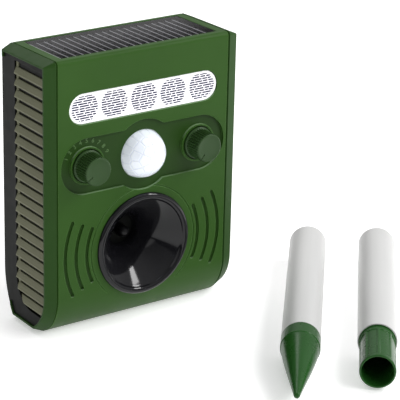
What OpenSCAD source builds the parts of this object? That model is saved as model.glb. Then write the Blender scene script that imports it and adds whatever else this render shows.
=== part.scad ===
// Solar ultrasonic pest repeller with a two-piece ground stake that lies beside it.
// +Z is up, the front panel faces -Y, and the origin is the centre of the stake socket's mouth.

/* [Housing] */
// Width over both side frames
body_w = 108; // [104:1:112]
// Depth from the front panel to the back wall
body_d = 43; // [43:0.5:46]
// Height of the top edge of the front panel
body_h = 139.5; // [138:0.5:146]
// Fall of the top deck from front to back, in degrees
top_slope = 1.4; // [0.6:0.1:2.4]
// Wall of the front panel
panel_t = 3; // [2.6:0.1:3.2]
// Wall of the rest of the shell
wall = 2.4; // [2:0.1:2.6]
// Width of the sloping rail of each side frame
rail_w = 5.9; // [5.4:0.1:6.2]
// Distance that the rail slopes back across its width
rail_drop = 2.3; // [1.6:0.1:2.6]

/* [Side louvres] */
// Ribs on each side
rib_count = 21; // [12:1:21]
// Distance from one rib to the next
rib_pitch = 5.75; // [5:0.05:5.75]
// Height of one rib
rib_h = 3.6; // [2.6:0.1:4]

/* [Front features] */
// Height of the middle of the LED strip
led_z = 114.6; // [114:0.2:115.4]
// Distance between two LEDs
led_pitch = 16.5; // [15.6:0.1:16.6]
// Number of LEDs
led_count = 5; // [3:2:5]
// Height of the row of knobs and the motion sensor
dial_z = 86; // [85.4:0.2:86.6]
// Distance of each knob from the middle
knob_x = 31.4; // [31:0.2:32]
// Radius of the sensor's dome
dome_r = 12; // [11:0.2:12.4]
// Height of the middle of the sounder horn
horn_z = 40.2; // [39.6:0.2:41]
// Radius of the horn's lip
horn_r = 26; // [25:0.2:26.4]
// Depth of the horn behind the front panel
horn_depth = 18; // [16:0.5:18.5]

/* [Ground stake] */
// Outer radius of the aluminium tubes
tube_r = 9.5; // [9:0.1:9.6]
// Wall of the tubes
tube_wall = 0.8; // [0.7:0.1:1]
// Length of one tube
tube_l = 120; // [100:1:130]
// Length of the cone at the lower end
cone_l = 49; // [36:1:50]
// Length of the coupling that stands out of the upper tube
coupler_l = 32; // [24:1:34]
// Depth of the socket in the housing
socket_l = 20; // [16:1:20]

/* [Hidden] */

$fn = 96;
eps = 0.01;
green = [0.21, 0.33, 0.17];
dark = [0.1, 0.11, 0.09];
olive = [0.42, 0.42, 0.36];
metal = [0.8, 0.8, 0.8];
white = [0.93, 0.94, 0.96];
gloss = [0.06, 0.06, 0.07];
board = [0.1, 0.32, 0.16];
rubber = [0.13, 0.13, 0.13];
red = [0.6, 0.1, 0.08];

// Outline of the housing in the Y-Z plane
front_y = -24;
back_y = front_y + body_d;
front_flat = 13;
front_rise = 22;
back_flat = 8.5;
back_rise = 26;
top_front_r = 2.2;
top_back_r = 3;
front_r = (front_rise * front_rise + front_flat * front_flat) / (2 * front_flat);
back_r = (back_rise * back_rise + back_flat * back_flat) / (2 * back_flat);

// Where the covers, the side frames and the top deck meet
groove_x = body_w / 2 - rail_w;
groove_w = 0.5;
groove_depth = 0.8;
rail_lip = 1;
skin_x = groove_x - wall;
flange = 8;
split_y = back_y - back_flat + 1.4;
deck_t = 5.6;
deck_z = body_h - 7;
joint_gap = 0.1;
panel_back = front_y + panel_t;
back_wall = 3;
inner_back = back_y - back_wall;

// Side plates of the rear cover and the louvres in them
plate_x = body_w / 2 - 0.8;
plate_t = 2.4;
pocket = 1.4;
tie_t = 0.6;
tie_w = 2;
louvre_y = [front_y + rail_drop + rail_lip, back_y - 13];
louvre_z = [10, 133.4];
louvre_corner = 14;
rib_top = 130.4;
rib_out = 1.9;

// Solar panel, measured along the sloping deck from its front edge
solar_half = 43.6;
solar_y = [4.4, body_d - 4.2];
solar_pocket = 3;
gasket_t = 0.5;

// Features of the front panel
band_depth = 1.4;
band_r = 14;
band_x = 32.2;
bulge_r = 17.8;
strip_w = 83.4;
strip_h = 15.4;
strip_gap = 0.2;
collar_r = 9.4;
collar_bore = 8.5;
collar_h = 1.2;
dome_y = front_y + 2.7;
dome_gap = 0.25;
arc_radii = [32, 38, 44];
arc_half = 25;
arc_w = 2;
arc_depth = 1.2;
ring_r = 29.2;

// Boards and what they carry
board_y = front_y + 15;
board_t = 1.6;
board_z = [70, 104];
board_x = 43;
post_x = 39;
post_z = [74, 100];
post_r = 2.4;
led_y = front_y + 12;
led_r = 2.4;

// Knobs and potentiometers
shaft_r = 3;
shaft_fit = 0.05;
knob_r = 7.5;
flutes = 36;
flute_depth = 0.45;
knob_face = front_y - 9.4;
knob_back = front_y + 0.6;
pot_y = board_y - 5;
bush_y = board_y - 10;
bush_r = 3.7;
pointer_left = 236;
pointer_right = 222;

// Horn and its driver
horn_wall = 1.5;
throat_r = 7.5;
mouth_r = horn_r - 3.6;
throat_y = front_y + horn_depth;
driver_y = throat_y + 4;

// Screws that hold the covers together
boss_x = 41;
boss_z = [14, 127];
boss_r = 4.4;
pilot_r = 1.3;
screw_r = 1.2;
head_r = 2.9;
head_y = 6;

// Battery compartment
cell_r = 7.25;
cell_l = 50.5;
cell_pitch = 15.2;
cell_y = inner_back - cell_r - 0.75;
cell_z = 70.4;
bay_x = 24;
bay_z = [69, 122.2];
door_x = 27;
door_z = [61.6, 130];
door_t = 1.6;
door_gap = 0.3;
door_screw_x = 22;
door_screw_z = [65, 126.6];

// Charging port and hanging hole in the back
port_x = -33;
port_z = 42;
port_bore = 2.8;
hang_z = 46;
hang_r = 4.2;
hang_slot = 4.4;
hang_rise = 8;

// Radius of the leads inside
lead_r = 0.7;

// Ground stake, and where its two sections lie
socket_bore = tube_r + 0.15;
socket_r = tube_r + 1.3;
tube_bore = tube_r - tube_wall;
tip_r = 0.9;
collar_l = 10;
plug_l = 14;
plug_r = tube_bore + 0.3;
coupler_r = tube_bore - 0.2;
coupler_bore = coupler_r - 1;
lower_lip = [38.9, -101.2];
upper_lip = [68.5, -122];
stake_turn = -39.1;

// ---- Outlines ----

function arc(c, r, from, to, steps) =
    [for (i = [0:steps]) let (a = from + (to - from) * i / steps) c + r * [cos(a), sin(a)]];

function deck_height(y) = body_h - (y - front_y) * tan(top_slope);

// Centre of a top corner with radius r whose surface lies t inside the outline
function corner(y, t, r) = [y, deck_height(y) - (t + r) / cos(top_slope)];

// Side outline of the housing, drawn t inside its surface
function profile(t) =
    let (
        rf = max(top_front_r - t, 0.4),
        rb = max(top_back_r - t, 0.4),
        low_front = asin((front_rise - t) / (front_r - t)),
        low_back = asin((back_rise - t) / (back_r - t))
    )
    concat(
        arc([front_y + front_r, front_rise], front_r - t, 180 + low_front, 180, 20),
        arc(corner(front_y + t + rf, t, rf), rf, 180, 90 - top_slope, 6),
        arc(corner(back_y - t - rb, t, rb), rb, 90 - top_slope, 0, 6),
        arc([back_y - back_r, back_rise], back_r - t, 0, -low_back, 20));

// Window of the louvres, drawn t inside its edge, with a round lower corner at the back
function window(t) =
    let (y = louvre_y + [t, -t], z = louvre_z + [t, -t])
    concat([[y[0], z[0]], [y[0], z[1]], [y[1], z[1]]],
        arc([y[1] - louvre_corner, z[0] + louvre_corner], louvre_corner, 0, -90, 16));

// The two ends of a stretch that reaches r to each side of c
function around(c, r) = [c - r, c + r];

// Radius of the horn's inside, u running from 0 at the mouth to 1 at the throat
function flare(u) = throat_r * pow(mouth_r / throat_r, 1 - u);

// ---- Helpers ----

// An outline in the Y-Z plane, extruded between two X positions
module slab(x0, x1) translate([x0, 0, 0]) rotate([90, 0, 90]) linear_extrude(x1 - x0) children();

// An outline in the X-Z plane, extruded between two Y positions
module plate(y0, y1) translate([0, y1, 0]) rotate([90, 0, 0]) linear_extrude(y1 - y0) children();

// Round bar along Y at a place in the X-Z plane
module bar(x, z, y0, y1, r) translate([x, y0, z]) rotate([-90, 0, 0]) cylinder(h = y1 - y0, r = r);

// A turned shape with its axis along Y at a given height; its outline is in [radius, y]
module turned(z) translate([0, 0, z]) rotate([-90, 0, 0]) rotate_extrude() children();

module box(x, y, z) translate([x[0], y[0], z[0]]) cube([x[1] - x[0], y[1] - y[0], z[1] - z[0]]);

module both_sides() {
    children();
    mirror([1, 0, 0]) children();
}

module stadium(w, h) {
    square([w - h, h], center = true);
    for (x = [-1, 1]) translate([x * (w - h) / 2, 0]) circle(d = h);
}

// Things on the sloping top deck, with Z across it and Y along it
module on_deck() translate([0, front_y, body_h]) rotate([-top_slope, 0, 0]) children();

// Things along a stake section that lies on the ground, with Z along it from its lip
module on_ground(lip) translate([lip[0], lip[1], tube_r]) rotate([0, 0, stake_turn])
    rotate([-90, 0, 0]) children();

// Block in the housing's outline, chamfered by drop along both sides
module housing_block(half, edge, drop) hull() {
    slab(-half, half) polygon(profile(drop));
    slab(-half + edge, half - edge) polygon(profile(0));
}

// A lead at one X position that follows a cubic curve through [y, z] control points
module lead(x, p) {
    sides = 8;
    steps = 14;
    ring = [for (i = [0:steps]) let (
            t = i / steps,
            u = 1 - t,
            c = u * u * u * p[0] + 3 * u * u * t * p[1] + 3 * u * t * t * p[2] + t * t * t * p[3],
            d = u * u * (p[1] - p[0]) + 2 * u * t * (p[2] - p[1]) + t * t * (p[3] - p[2]),
            n = [-d[1], d[0]] / norm(d))
        for (k = [0:sides - 1]) let (a = 360 * k / sides)
            [x + lead_r * cos(a), c[0] + lead_r * sin(a) * n[0], c[1] + lead_r * sin(a) * n[1]]];
    polyhedron(ring, concat(
        [[for (k = [0:sides - 1]) k]],
        [for (i = [0:steps - 1], k = [0:sides - 1]) let (
            j = (k + 1) % sides)
            [i * sides + k, (i + 1) * sides + k, (i + 1) * sides + j, i * sides + j]],
        [[for (k = [sides - 1:-1:0]) steps * sides + k]]));
}

// Pan-head screw whose head rests on the plane y = y0 and whose thread points to -Y
module pan_screw(x, z, y0, length, r, head) difference() {
    union() {
        bar(x, z, y0 - length, y0 + eps, r);
        bar(x, z, y0, y0 + 0.7 * head, head);
    }
    for (a = [0, 90]) translate([x, y0 + 0.9 * head, z]) rotate([0, a, 0])
        cube([1.2 * head, 0.8 * head, 0.25 * head], center = true);
}

// ---- Front cover ----

module cavity() intersection() {
    slab(-skin_x, skin_x) polygon(profile(wall));
    box([-body_w, body_w], [panel_back, back_y], [0, body_h - deck_t]);
}

module band_outline() {
    stadium(2 * (band_x + band_r), 2 * band_r);
    circle(r = bulge_r);
}

module arc_grooves() for (r = arc_radii)
    translate([0, front_y + arc_depth, horn_z]) rotate([90, 0, 0]) {
        rotate([0, 0, -arc_half]) rotate_extrude(angle = 2 * arc_half)
            translate([r - arc_w / 2, 0]) square([arc_w, arc_depth + 1]);
        for (a = [-arc_half, arc_half]) rotate([0, 0, a]) translate([r, 0, 0])
            cylinder(h = arc_depth + 1, d = arc_w, $fn = 32);
    }

module solar_block(margin, z0, z1) on_deck()
    box([-solar_half + margin, solar_half - margin], solar_y + [margin, -margin], [z0, z1]);

module front_openings() {
    translate([0, 0, led_z]) plate(front_y - 1, panel_back + 1) stadium(strip_w, strip_h);
    bar(0, dial_z, front_y, panel_back + 1, dome_r + dome_gap);
    bar(0, horn_z, front_y - 1, panel_back + 1, horn_r - 2);
    for (x = [-knob_x, knob_x]) bar(x, dial_z, front_y, panel_back + 1, bush_r + 0.6);
    both_sides() arc_grooves();
    turned(horn_z) translate([ring_r, front_y - 1]) square([0.7, 1.4]);
    solar_block(0, -solar_pocket, 2);
    on_deck() translate([30, 25, -deck_t - 1]) cylinder(h = deck_t, r = 2);
    translate([0, 0, -1]) cylinder(h = wall + 4, r = socket_r + 0.1);
    for (x = [-boss_x, boss_x], z = boss_z) bar(x, z, -14, 1, pilot_r);
    for (x = [-post_x, post_x], z = post_z) bar(x, z, board_y - 8, board_y + 1, 0.9);
}

module front_cover() color(green) difference() {
    union() {
        difference() {
            housing_block(groove_x, groove_w, groove_depth);
            cavity();
            intersection() {
                slab(-groove_x - 1, groove_x + 1) polygon(profile(flange));
                box([-body_w, body_w], [panel_back, back_y], [0, body_h]);
            }
            box([-body_w, body_w], [split_y, back_y + 1], [-1, deck_z]);
            translate([0, 0, dial_z]) plate(front_y - 1, front_y + band_depth) band_outline();
        }
        intersection() {
            for (x = [-boss_x, boss_x], z = boss_z) bar(x, z, front_y, 0, boss_r - 0.8);
            slab(-skin_x - 1, skin_x + 1) polygon(profile(1));
        }
        for (x = [-post_x, post_x], z = post_z) bar(x, z, panel_back - eps, board_y, post_r);
        for (x = [-knob_x, knob_x]) difference() {
            bar(x, dial_z, front_y + band_depth - collar_h, front_y + band_depth + eps, collar_r);
            bar(x, dial_z, front_y - 1, front_y + band_depth + 1, collar_bore);
        }
    }
    front_openings();
}

// ---- Side frames and louvres ----

module side_frame() color(green) difference() {
    hull() {
        slab(groove_x, body_w / 2) polygon(profile(rail_drop));
        slab(groove_x, groove_x + eps) polygon(profile(groove_depth));
        slab(groove_x + groove_w, groove_x + groove_w + eps) polygon(profile(0));
    }
    slab(groove_x - 1, body_w / 2 + 1) polygon(profile(rail_drop + rail_lip));
    box([0, body_w], [split_y, back_y + 1], [-1, deck_z]);
}

module rib() translate([0, louvre_y[1], -rib_h]) rotate([90, 0, 0])
    linear_extrude(louvre_y[1] - louvre_y[0])
    polygon([[0, 0], [rib_out, 0.2], [rib_out, 0.8], [0.7, rib_h], [0, rib_h]]);

module side_louvre() color(olive) translate([plate_x - pocket, 0, 0]) intersection() {
    slab(0, rib_out + 1) polygon(window(0.2));
    slab(0, rib_out + 1) polygon(profile(rail_drop + rail_lip + 0.3));
    union() {
        for (k = [0:rib_count - 1]) translate([0, 0, rib_top - k * rib_pitch]) rib();
        for (y = [louvre_y[0], louvre_y[1] - tie_w]) box([0, tie_t], [y, y + tie_w], louvre_z);
    }
}

// ---- Rear cover ----

module rear_shell() intersection() {
    difference() {
        housing_block(plate_x, 1.2, 1.2);
        slab(-plate_x + plate_t, plate_x - plate_t) polygon(profile(back_wall));
    }
    box([-body_w, body_w], [split_y + joint_gap, back_y + 1], [0, deck_z - joint_gap]);
}

module keyhole(grow) {
    circle(r = hang_r + grow);
    translate([0, hang_rise]) circle(d = hang_slot + 2 * grow);
    translate([-hang_slot / 2 - grow, 0]) square([hang_slot + 2 * grow, hang_rise]);
}

module rear_cover() color(dark) difference() {
    union() {
        rear_shell();
        both_sides() slab(plate_x - plate_t, plate_x)
            polygon(profile(rail_drop + rail_lip + joint_gap));
        intersection() {
            for (x = [-boss_x, boss_x], z = boss_z) bar(x, z, joint_gap, back_y, boss_r);
            slab(-plate_x, plate_x) polygon(profile(1));
        }
        for (x = [-door_screw_x, door_screw_x], z = door_screw_z)
            bar(x, z, inner_back - 8, inner_back + 1, 3);
        box([-8, 8], [inner_back - 6, inner_back + 1], [hang_z - 7, hang_z + 13]);
        bar(port_x, port_z, inner_back - 1, inner_back + 1, 7.6);
    }
    both_sides() slab(plate_x - pocket, plate_x + 1) polygon(window(0));
    for (x = [-boss_x, boss_x], z = boss_z) {
        bar(x, z, head_y, back_y + 1, head_r + 0.3);
        bar(x, z, 0, back_y, screw_r + 0.4);
    }
    box([-door_x, door_x], [back_y - door_t - 0.4, back_y + 1], door_z);
    box([-bay_x, bay_x], [inner_back - 1, back_y + 1], bay_z);
    for (x = [-door_screw_x, door_screw_x], z = door_screw_z)
        bar(x, z, inner_back - 7, back_y, pilot_r);
    translate([0, 0, hang_z]) plate(inner_back - eps, back_y + 1) keyhole(0);
    box([-6.8, 6.8], [inner_back - 4.8, inner_back], [hang_z - 5.8, hang_z + 11.8]);
    bar(port_x, port_z, back_y - 1.6, back_y + 1, 6.6);
    bar(port_x, port_z, inner_back - 2, back_y, 5.2);
}

// ---- Solar panel ----

module solar_backing() color(dark) solar_block(0.1, -solar_pocket, -2);
module solar_glass() color(gloss) solar_block(gasket_t, -1.7, -0.2);

module solar_cells() color([0.2, 0.2, 0.23]) {
    cell_gap = 0.4;
    cell_w = (solar_half - gasket_t - 0.3) / 5;
    for (i = [-5:4]) on_deck()
        box([i * cell_w + cell_gap / 2, (i + 1) * cell_w - cell_gap / 2],
            solar_y + [gasket_t, -gasket_t], [-2, -1.7]);
}

module solar_gasket() color(rubber) difference() {
    solar_block(0.02, -2, -0.3);
    solar_block(gasket_t, -3, 1);
}

// ---- LED light ----

module led_lens() color([0.9, 0.93, 0.95, 0.5]) translate([0, 0, led_z]) {
    plate(front_y + 0.5, panel_back + eps)
        stadium(strip_w - 2 * strip_gap, strip_h - 2 * strip_gap);
    plate(panel_back, panel_back + 1) stadium(strip_w + 3, strip_h + 2.4);
}

module each_led() for (i = [0:led_count - 1])
    translate([(i - (led_count - 1) / 2) * led_pitch, 0, led_z]) children();

module led_reflector() color(white) difference() {
    translate([0, 0, led_z]) plate(panel_back + 1, led_y) stadium(strip_w + 2.6, strip_h + 1);
    each_led() translate([0, panel_back + 1 - eps, 0]) rotate([-90, 0, 0])
        cylinder(h = led_y - panel_back - 1 + 2 * eps, r1 = 7.3, r2 = led_r + 0.5);
}

module leds() color(white) each_led() {
    bar(0, 0, led_y - 3.4, led_y, led_r);
    bar(0, 0, led_y - 0.9, led_y, led_r + 0.35);
    translate([0, led_y - 3.4, 0]) sphere(r = led_r);
}

module led_board() color(board) box([-42, 42], [led_y, led_y + board_t], around(led_z, 8));

// ---- Motion sensor ----

module pir_lens() color(white) turned(dial_z) polygon(concat(
    arc([0, dome_y], dome_r, -90, 0, 24),
    [[dome_r, panel_back], [dome_r + 2.2, panel_back], [dome_r + 2.2, panel_back + 1],
        [dome_r - 1, panel_back + 1]],
    arc([0, dome_y], dome_r - 1, 0, -90, 24)));

module pir_shroud() color(dark) difference() {
    bar(0, dial_z, panel_back + 1, board_y, dome_r + 1.2);
    bar(0, dial_z, panel_back, board_y + 1, dome_r);
}

module pir_sensor() color(metal) difference() {
    union() {
        bar(0, dial_z, board_y - 4.2, board_y, 4.1);
        bar(0, dial_z, board_y - 0.7, board_y, 4.7);
    }
    box([-2, 2], [board_y - 5, board_y - 3.8], around(dial_z, 1.3));
}

// ---- Main board ----

module main_board() color(board) difference() {
    box([-board_x, board_x], [board_y, board_y + board_t], board_z);
    for (x = [-post_x, post_x], z = post_z) bar(x, z, board_y - 1, board_y + 3, 1.3);
}

module main_chips() color(dark) {
    rear = board_y + board_t;
    box([-7, 7], [rear, rear + 2], [82, 90]);
    box([-24, -17], [rear, rear + 2], [92, 98]);
    for (x = [18, 27]) bar(x, 94, rear, rear + 5, 3.2);
}

module board_screws() color(metal) for (x = [-post_x, post_x], z = post_z)
    pan_screw(x, z, board_y + board_t, 6, 0.85, 2);

// ---- Knobs ----

module potentiometer(x) color(metal) difference() {
    union() {
        box([x - 5.5, x + 5.5], [pot_y, board_y], [dial_z - 6.5, dial_z + 5.5]);
        bar(x, dial_z, bush_y, pot_y + eps, bush_r);
    }
    bar(x, dial_z, bush_y - 1, pot_y + 2, shaft_r + shaft_fit);
}

module knob_shaft(x) color(metal) bar(x, dial_z, knob_face + 2.4, pot_y + 1.5, shaft_r);

// Radius of the grip at each of its ridges and flutes
function grip(i) = knob_r - (i % 2) * flute_depth;

module knob(x, pointer) color(green) translate([x, 0, dial_z]) difference() {
    union() {
        bar(0, 0, knob_back - 1.2, knob_back, knob_r + 0.4);
        plate(knob_face + 0.7, knob_back - 1)
            polygon([for (i = [0:2 * flutes - 1]) grip(i) * [cos(180 * i / flutes), sin(180 * i / flutes)]]);
        translate([0, knob_face, 0]) rotate([-90, 0, 0])
            cylinder(h = 0.7 + eps, r1 = knob_r - flute_depth - 0.6, r2 = knob_r - flute_depth);
    }
    bar(0, 0, knob_face + 2.2, knob_back + 1, shaft_r + 0.02);
    rotate([0, pointer, 0]) box([-0.45, 0.45], [knob_face - 1, knob_face + 0.6], [3.4, 9]);
}

// ---- Sounder ----

module horn() color(gloss) turned(horn_z) polygon(concat(
    [for (i = [0:12]) [flare(1 - i / 12), throat_y - i / 12 * horn_depth]],
    [[mouth_r + 0.9, front_y - 1.2]],
    arc([horn_r - 1.4, front_y - 0.4], 1.4, 250, 360, 8),
    [[horn_r, front_y], [horn_r - 2.3, front_y], [horn_r - 2.3, panel_back]],
    [for (i = [3:12]) [flare(i / 12) + horn_wall, front_y + i / 12 * horn_depth]],
    [[throat_r + horn_wall, driver_y], [throat_r, driver_y]]));

module phase_plug() color(gloss) translate([0, 0, horn_z]) {
    bar(0, 0, throat_y, driver_y, 3);
    translate([0, throat_y, 0]) sphere(r = 3);
}

module horn_driver() color(dark) {
    bar(0, horn_z, driver_y, driver_y + 7, 15);
    bar(0, horn_z, driver_y + 7 - eps, driver_y + 10, 9);
}

// ---- Fasteners ----

module housing_screws() color(metal) for (x = [-boss_x, boss_x], z = boss_z)
    pan_screw(x, z, head_y, 18, screw_r, head_r);

module door_screws() color(metal) for (x = [-door_screw_x, door_screw_x], z = door_screw_z)
    difference() {
        union() {
            bar(x, z, inner_back - 5, back_y - 1.3, screw_r);
            translate([x, back_y - 1.5, z]) rotate([-90, 0, 0])
                cylinder(h = 1.4, r1 = screw_r, r2 = 2.5);
        }
        for (a = [0, 90]) translate([x, back_y, z]) rotate([0, a, 0])
            cube([3, 1.4, 0.6], center = true);
    }

// ---- Battery compartment ----

module battery_holder() color(dark) difference() {
    box([-bay_x - 1, bay_x + 1], [cell_y - cell_r - 1.2, inner_back - joint_gap],
        bay_z + [-0.6, 0.6]);
    for (i = [-1:1]) translate([i * cell_pitch, cell_y, bay_z[0] + 0.6]) {
        cylinder(h = bay_z[1] - bay_z[0] - 1.2, r = cell_r + 0.25);
        box([-cell_r - 0.25, cell_r + 0.25], [0, cell_pitch], [0, bay_z[1] - bay_z[0] - 1.2]);
    }
}

module batteries() color([0.25, 0.45, 0.3]) for (i = [-1:1])
    translate([i * cell_pitch, cell_y, cell_z]) {
        cylinder(h = cell_l - 1.2, r = cell_r);
        cylinder(h = cell_l, r = 2.7);
    }

module battery_contacts() color(metal) for (i = [-1:1]) {
    box(around(i * cell_pitch, 4.5), around(cell_y, 4.5), [bay_z[1] - 1, bay_z[1] - 0.6]);
    translate([i * cell_pitch, cell_y, bay_z[0] + 0.6])
        cylinder(h = cell_z - bay_z[0] - 0.6, r1 = 4, r2 = 2.4);
}

module battery_gasket() color(rubber) difference() {
    box([-bay_x - 2, bay_x + 2], [back_y - door_t - 0.4, back_y - door_t], bay_z + [-2, 2]);
    box([-bay_x - 0.6, bay_x + 0.6], [back_y - 3, back_y], bay_z + [-0.6, 0.6]);
}

module battery_door() color(dark) difference() {
    union() {
        box([-door_x + door_gap, door_x - door_gap], [back_y - door_t, back_y],
            door_z + [door_gap, -door_gap]);
        difference() {
            box([-bay_x + 0.5, bay_x - 0.5], [inner_back, back_y - door_t + eps],
                bay_z + [0.5, -0.5]);
            box([-bay_x + 1.7, bay_x - 1.7], [inner_back - 1, back_y - door_t],
                bay_z + [1.7, -1.7]);
        }
    }
    for (k = [-3:3]) box([-10, 10], [back_y - 0.5, back_y + 1], around(74 + 2 * k, 0.5));
    for (x = [-door_screw_x, door_screw_x], z = door_screw_z) {
        bar(x, z, back_y - 3, back_y + 1, screw_r + 0.15);
        translate([x, back_y - 1.5, z]) rotate([-90, 0, 0])
            cylinder(h = 1.5 + eps, r1 = screw_r + 0.15, r2 = 2.8);
    }
}

// ---- Charging port ----

module charge_port() color(dark) difference() {
    union() {
        bar(port_x, port_z, inner_back - 10, back_y - 1.7, 5);
        box(around(port_x, 6), [inner_back - 12, inner_back - 2], around(port_z, 6));
    }
    bar(port_x, port_z, inner_back - 8, back_y, port_bore);
}

module port_plug() color(rubber) {
    bar(port_x, port_z, back_y - 1.5, back_y, 6.2);
    bar(port_x, port_z, inner_back - 6, back_y - 1.4, port_bore - 0.15);
}

// ---- Stake socket ----

module stake_socket() color(dark) difference() {
    union() {
        cylinder(h = socket_l + 1.5, r = socket_r);
        intersection() {
            translate([0, 0, wall]) cylinder(h = 1.6, r = socket_r + 1.2);
            slab(-socket_l, socket_l) polygon(profile(wall + joint_gap));
        }
    }
    translate([0, 0, -1]) cylinder(h = socket_l + 1, r = socket_bore);
}

// ---- Leads ----

module speaker_leads() color(red) for (x = [-9, -11])
    lead(x, [[driver_y + 7, horn_z + 4], [driver_y + 15, horn_z + 4],
        [board_y + 5.5, board_z[0] + 1.4], [board_y + board_t, board_z[0] + 1.4]]);

module solar_leads() color(red) for (x = [29, 31])
    lead(x, [[1, deck_height(1) - solar_pocket - 0.05], [1, 118], [0, 99], [board_y + board_t, 99]]);

module battery_leads() color(red) for (x = [-20, 20])
    lead(x, [[cell_y - cell_r - 1.2, 80], [-1, 80], [-4, 77], [board_y + board_t, 77]]);

module led_leads() color(red) for (x = [-31, -33])
    lead(x, [[led_y + board_t, led_z - 4], [-5, led_z - 4], [-3, 100], [board_y + board_t, 100]]);

// ---- Ground stake ----

module stake_tube(lip) color(metal) on_ground(lip) difference() {
    cylinder(h = tube_l, r = tube_r);
    translate([0, 0, -1]) cylinder(h = tube_l + 2, r = tube_bore);
    translate([0, 0, -1]) cylinder(h = plug_l + 1, r = plug_r);
}

module stake_spike() color(green) on_ground(lower_lip) {
    translate([0, 0, -eps]) cylinder(h = plug_l, r = plug_r - 0.02);
    translate([0, 0, -collar_l]) cylinder(h = collar_l, r = tube_r);
    translate([0, 0, -collar_l - cone_l]) cylinder(h = cone_l + eps, r1 = tip_r, r2 = tube_r);
}

module stake_coupler() color(green) on_ground(upper_lip) difference() {
    union() {
        translate([0, 0, -coupler_l]) cylinder(h = coupler_l + plug_l, r = coupler_r);
        cylinder(h = plug_l, r = plug_r - 0.02);
    }
    translate([0, 0, -coupler_l - 1]) cylinder(h = coupler_l + plug_l + 2, r = coupler_bore);
    for (k = [0:4]) rotate([0, 0, 72 * k + 90]) translate([coupler_r - 0.25, -1.1, 2 - coupler_l])
        cube([2, 2.2, coupler_l - 3]);
}

front_cover();
rear_cover();
mirror([1, 0, 0]) side_frame();  // side_frame_left
side_frame();  // side_frame_right
mirror([1, 0, 0]) side_louvre();  // side_louvre_left
side_louvre();  // side_louvre_right
solar_backing();
solar_cells();
solar_glass();
solar_gasket();
led_lens();
led_reflector();
leds();
led_board();
pir_lens();
pir_shroud();
pir_sensor();
main_board();
main_chips();
board_screws();
potentiometer(-knob_x);  // potentiometer_left
potentiometer(knob_x);  // potentiometer_right
knob_shaft(-knob_x);  // knob_shaft_left
knob_shaft(knob_x);  // knob_shaft_right
knob(-knob_x, pointer_left);  // knob_left
knob(knob_x, pointer_right);  // knob_right
horn();
phase_plug();
horn_driver();
housing_screws();
battery_holder();
batteries();
battery_contacts();
battery_gasket();
battery_door();
door_screws();
charge_port();
port_plug();
stake_socket();
speaker_leads();
solar_leads();
battery_leads();
led_leads();
stake_tube(lower_lip);  // stake_tube_lower
stake_spike();
stake_tube(upper_lip);  // stake_tube_upper
stake_coupler();
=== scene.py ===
"""Looks of the solar pest repeller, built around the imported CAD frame.

Lengths are in millimetres, apart from the floor and the lamps, which are in metres.
"""

import math
import random

import bmesh
import bpy
import numpy as np
from mathutils import Matrix, Quaternion, Vector


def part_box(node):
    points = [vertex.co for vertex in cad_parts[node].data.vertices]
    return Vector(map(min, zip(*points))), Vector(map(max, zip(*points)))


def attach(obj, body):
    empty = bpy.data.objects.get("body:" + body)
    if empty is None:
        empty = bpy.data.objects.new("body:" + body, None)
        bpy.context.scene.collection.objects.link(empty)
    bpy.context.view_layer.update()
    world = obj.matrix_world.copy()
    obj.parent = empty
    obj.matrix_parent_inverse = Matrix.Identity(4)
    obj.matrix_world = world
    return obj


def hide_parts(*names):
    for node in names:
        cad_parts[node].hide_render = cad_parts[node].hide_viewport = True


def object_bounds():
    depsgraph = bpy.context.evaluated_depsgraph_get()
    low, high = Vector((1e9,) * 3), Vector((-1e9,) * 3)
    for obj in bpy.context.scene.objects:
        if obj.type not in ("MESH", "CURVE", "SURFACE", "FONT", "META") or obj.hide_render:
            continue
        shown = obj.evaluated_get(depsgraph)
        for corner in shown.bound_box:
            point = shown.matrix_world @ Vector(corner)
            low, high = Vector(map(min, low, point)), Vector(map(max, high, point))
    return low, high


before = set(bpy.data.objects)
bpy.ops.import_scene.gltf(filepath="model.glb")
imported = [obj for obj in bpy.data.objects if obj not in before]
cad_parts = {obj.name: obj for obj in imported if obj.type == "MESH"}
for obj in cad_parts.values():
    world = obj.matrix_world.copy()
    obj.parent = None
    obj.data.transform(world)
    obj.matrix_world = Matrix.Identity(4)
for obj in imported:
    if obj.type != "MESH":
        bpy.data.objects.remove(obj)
cad_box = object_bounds()

MM = 0.001
WHITE = (1.0, 1.0, 1.0)


def srgb(r, g, b):
    """A colour given as it shows on a screen, 0 to 255, as the linear values that shaders take."""
    return tuple(
        (c / 255 / 12.92) if c <= 10 else ((c / 255 + 0.055) / 1.055) ** 2.4
        for c in (r, g, b)
    )


def shade(colour, k):
    """A colour times k, with the alpha that sockets want."""
    return tuple(c * k for c in colour) + (1.0,)


def paler(colour, k, lift):
    """A colour times k and then raised towards white, with an alpha."""
    return shade(tuple(c * k + lift for c in colour), 1.0)


# ---- Where things are, read from the CAD frame ----


def span(node):
    """The two corners of a CAD node's box."""
    lo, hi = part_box(node)
    return lo / MM, hi / MM


def middle(node):
    """The middle of a CAD node's box."""
    lo, hi = span(node)
    return (lo + hi) / 2


HORN = middle("horn")
HORN_LO, HORN_HI = span("horn")
PIR = middle("pir_lens")
PIR_LO, PIR_HI = span("pir_lens")
LED = middle("led_lens")
LED_LO, LED_HI = span("led_lens")
FRONT_Y = span("front_cover")[0].y

# How far the two loose tubes are turned from the Y axis, in degrees, as in part.scad
STAKE_TURN = 39.1


# ---- Materials ----

# The output of a Mix node that holds the mixed colour
MIXED = 2
COAT_ROUGHNESS = 0.12
BEVEL_SAMPLES = 4
SUNK_FADE = 0.3


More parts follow.
